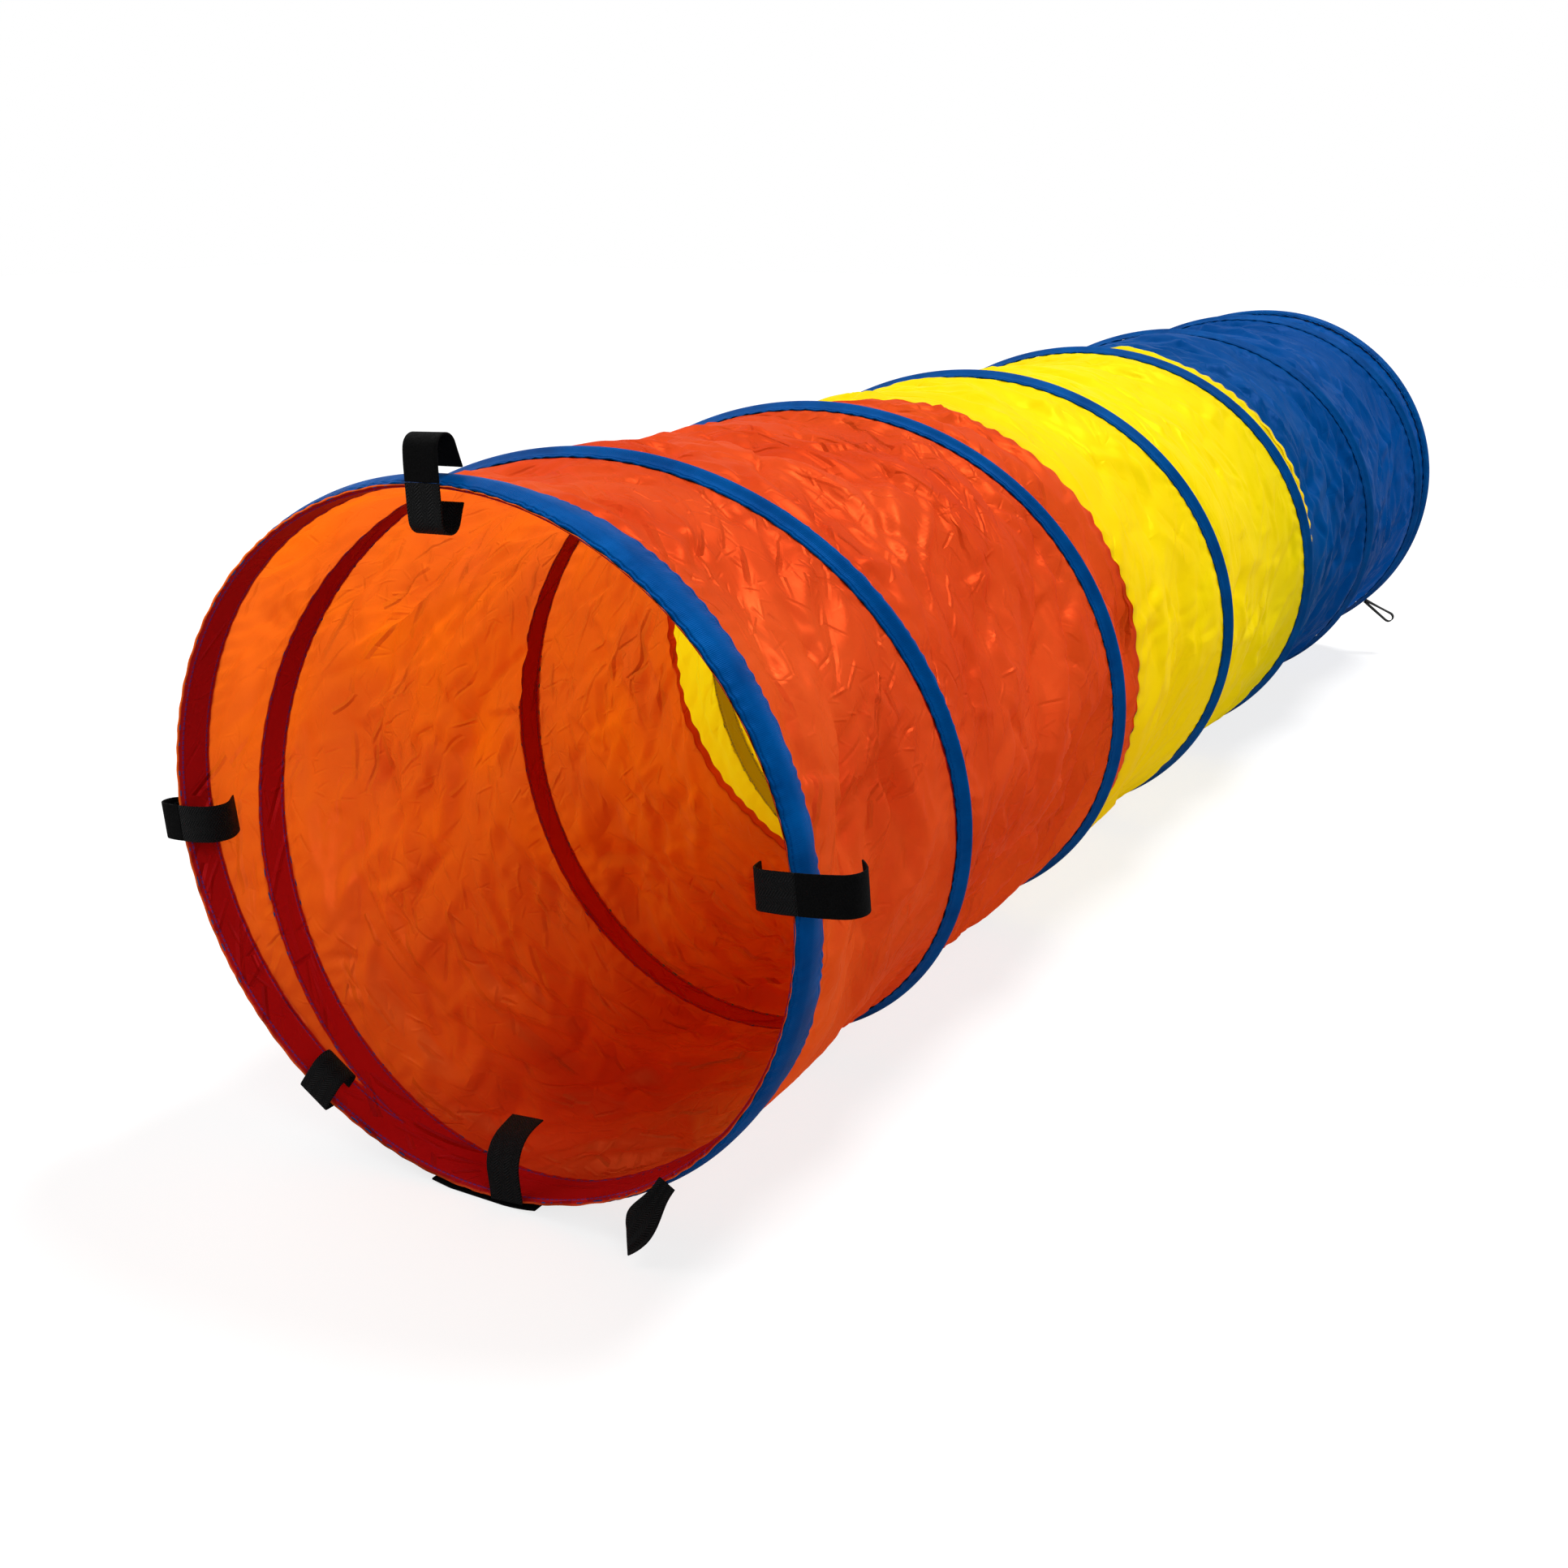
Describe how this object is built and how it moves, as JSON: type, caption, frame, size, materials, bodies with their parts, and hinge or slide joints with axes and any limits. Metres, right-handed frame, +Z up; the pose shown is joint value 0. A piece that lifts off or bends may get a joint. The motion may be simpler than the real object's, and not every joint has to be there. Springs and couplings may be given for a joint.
{
  "type": "play tunnel",
  "caption": "Collapsible round crawl tunnel: a wire coil between two hoops, coloured cloth panels, helical binding tape, hook-and-loop tie straps at the mouth and webbing loops at the far end.",
  "frame": {"origin": "centre of the tunnel on the floor, midway between its two ends", "axes": "+Z up, +Y from the mouth with the tie straps to the far end"},
  "size_m": [0.5282, 1.8191, 0.4864],
  "materials": {
    "orange_cloth": "thin woven polyester with a slight sheen, crinkled",
    "yellow_cloth": "thin woven polyester with a slight sheen, crinkled",
    "blue_cloth": "thin woven polyester with a slight sheen, crinkled",
    "blue_tape": "folded woven binding tape, stitched near both edges",
    "black_strap": "matt woven webbing, one side of each tie fuzzy or hooked",
    "spring_steel": "drawn spring wire",
    "crimp_steel": "crimped sheet steel"
  },
  "bodies": {
    "front_end": {"front_hoop": "spring_steel", "front_ferrule": "crimp_steel", "front_hoop_tape": "blue_tape", "orange_panel_front": "orange_cloth", "coil_turn_1": "spring_steel", "coil_tape_1": "blue_tape"},
    "turn_2": {"orange_panel_rear": "orange_cloth", "coil_turn_2": "spring_steel", "coil_tape_2": "blue_tape"},
    "turn_3": {"yellow_panel_front": "yellow_cloth", "coil_turn_3": "spring_steel", "coil_tape_3": "blue_tape", "orange_yellow_seam": "orange_cloth"},
    "turn_4": {"yellow_panel_rear": "yellow_cloth", "coil_turn_4": "spring_steel", "coil_tape_4": "blue_tape"},
    "turn_5": {"blue_panel_front": "blue_cloth", "coil_turn_5": "spring_steel", "coil_tape_5": "blue_tape", "yellow_blue_seam": "yellow_cloth"},
    "turn_6": {"blue_panel_rear": "blue_cloth", "coil_turn_6": "spring_steel", "coil_tape_6": "blue_tape"},
    "rear_end": {"rear_hoop": "spring_steel", "rear_ferrule": "crimp_steel", "rear_hoop_tape": "blue_tape"},
    "top_loop_strap": {"top_loop_strap": "black_strap"},
    "top_hook_strap": {"top_hook_strap": "black_strap"},
    "right_loop_strap": {"right_loop_strap": "black_strap"},
    "right_hook_strap": {"right_hook_strap": "black_strap"},
    "left_loop_strap": {"left_loop_strap": "black_strap"},
    "left_hook_strap": {"left_hook_strap": "black_strap"},
    "bottom_hook_strap": {"bottom_hook_strap": "black_strap"},
    "bottom_loop_strap": {"bottom_loop_strap": "black_strap"},
    "left_storage_strap": {"left_storage_strap": "black_strap"},
    "right_storage_strap": {"right_storage_strap": "black_strap"},
    "left_storage_loop": {"left_storage_loop": "black_strap"},
    "right_storage_loop": {"right_storage_loop": "black_strap"}
  },
  "joints": [
    {"name": "collapse_1", "type": "slide", "parent": "front_end", "child": "turn_2", "axis": [0, -1, 0], "range_m": [0, 0.2786], "stiffness_N_per_m": 60, "springref_m": -0.03, "deforming": ["orange_panel_front", "coil_turn_1", "coil_tape_1"]},
    {"name": "collapse_2", "type": "slide", "parent": "turn_2", "child": "turn_3", "axis": [0, -1, 0], "range_m": [0, 0.279], "stiffness_N_per_m": 60, "springref_m": -0.03, "deforming": ["orange_panel_rear", "coil_turn_2", "coil_tape_2"]},
    {"name": "collapse_3", "type": "slide", "parent": "turn_3", "child": "turn_4", "axis": [0, -1, 0], "range_m": [0, 0.271], "stiffness_N_per_m": 60, "springref_m": -0.03, "deforming": ["yellow_panel_front", "coil_turn_3", "coil_tape_3", "orange_yellow_seam"]},
    {"name": "collapse_4", "type": "slide", "parent": "turn_4", "child": "turn_5", "axis": [0, -1, 0], "range_m": [0, 0.271], "stiffness_N_per_m": 60, "springref_m": -0.03, "deforming": ["yellow_panel_rear", "coil_turn_4", "coil_tape_4"]},
    {"name": "collapse_5", "type": "slide", "parent": "turn_5", "child": "turn_6", "axis": [0, -1, 0], "range_m": [0, 0.3012], "stiffness_N_per_m": 60, "springref_m": -0.03, "deforming": ["blue_panel_front", "coil_turn_5", "coil_tape_5", "yellow_blue_seam"]},
    {"name": "collapse_6", "type": "slide", "parent": "turn_6", "child": "rear_end", "axis": [0, -1, 0], "range_m": [0, 0.3012], "stiffness_N_per_m": 60, "springref_m": -0.03, "deforming": ["blue_panel_rear", "coil_turn_6", "coil_tape_6"]},
    {"name": "top_loop_strap_bend", "type": "hinge", "parent": "front_end", "child": "top_loop_strap", "pos_m": [-0.00818, -0.9015, 0.4589], "axis": [0.9994, 0, 0.0339], "range_deg": [0, 80]},
    {"name": "top_hook_strap_bend", "type": "hinge", "parent": "front_end", "child": "top_hook_strap", "pos_m": [-0.00817, -0.9015, 0.4586], "axis": [-0.9994, 0, -0.0339], "range_deg": [0, 80]},
    {"name": "right_loop_strap_bend", "type": "hinge", "parent": "front_end", "child": "right_loop_strap", "pos_m": [0.23401, -0.9015, 0.25537], "axis": [0.1077, 0, -0.9942], "range_deg": [0, 80]},
    {"name": "right_hook_strap_bend", "type": "hinge", "parent": "front_end", "child": "right_hook_strap", "pos_m": [0.23372, -0.9015, 0.25534], "axis": [-0.1077, 0, 0.9942], "range_deg": [0, 80]},
    {"name": "left_loop_strap_bend", "type": "hinge", "parent": "front_end", "child": "left_loop_strap", "pos_m": [-0.23432, -0.9015, 0.2156], "axis": [-0.0719, 0, 0.9974], "range_deg": [0, 80]},
    {"name": "left_hook_strap_bend", "type": "hinge", "parent": "front_end", "child": "left_hook_strap", "pos_m": [-0.23402, -0.9015, 0.21562], "axis": [0.0719, 0, -0.9974], "range_deg": [0, 80]},
    {"name": "bottom_hook_strap_bend", "type": "hinge", "parent": "front_end", "child": "bottom_hook_strap", "pos_m": [0.02456, -0.9015, 0.00469], "axis": [0.9948, 0, 0.1015], "range_deg": [0, 80]},
    {"name": "bottom_loop_strap_bend", "type": "hinge", "parent": "front_end", "child": "bottom_loop_strap", "pos_m": [0.04552, -0.8875, 0.00425], "axis": [0, -1, 0], "range_deg": [0, 60]},
    {"name": "left_storage_strap_bend", "type": "hinge", "parent": "front_end", "child": "left_storage_strap", "pos_m": [-0.13253, -0.8875, 0.03901], "axis": [0.839, 0, -0.5441], "range_deg": [0, 80]},
    {"name": "right_storage_strap_bend", "type": "hinge", "parent": "front_end", "child": "right_storage_strap", "pos_m": [0.14662, -0.9003, 0.05326], "axis": [-0.8712, 0, 0.491], "range_deg": [0, 80]},
    {"name": "left_storage_loop_bend", "type": "hinge", "parent": "rear_end", "child": "left_storage_loop", "pos_m": [-0.16895, 0.8875, 0.06937], "axis": [0, 1, 0], "range_deg": [-25, 8]},
    {"name": "right_storage_loop_bend", "type": "hinge", "parent": "rear_end", "child": "right_storage_loop", "pos_m": [0.16761, 0.8875, 0.06702], "axis": [0, 1, 0], "range_deg": [-8, 25]}
  ],
  "couplings": [
    {"joint": "collapse_2", "follows": "collapse_1", "ratio": 1},
    {"joint": "collapse_3", "follows": "collapse_1", "ratio": 0.97119},
    {"joint": "collapse_4", "follows": "collapse_1", "ratio": 0.97119},
    {"joint": "collapse_5", "follows": "collapse_1", "ratio": 1.0797},
    {"joint": "collapse_6", "follows": "collapse_1", "ratio": 1.0797}
  ]
}
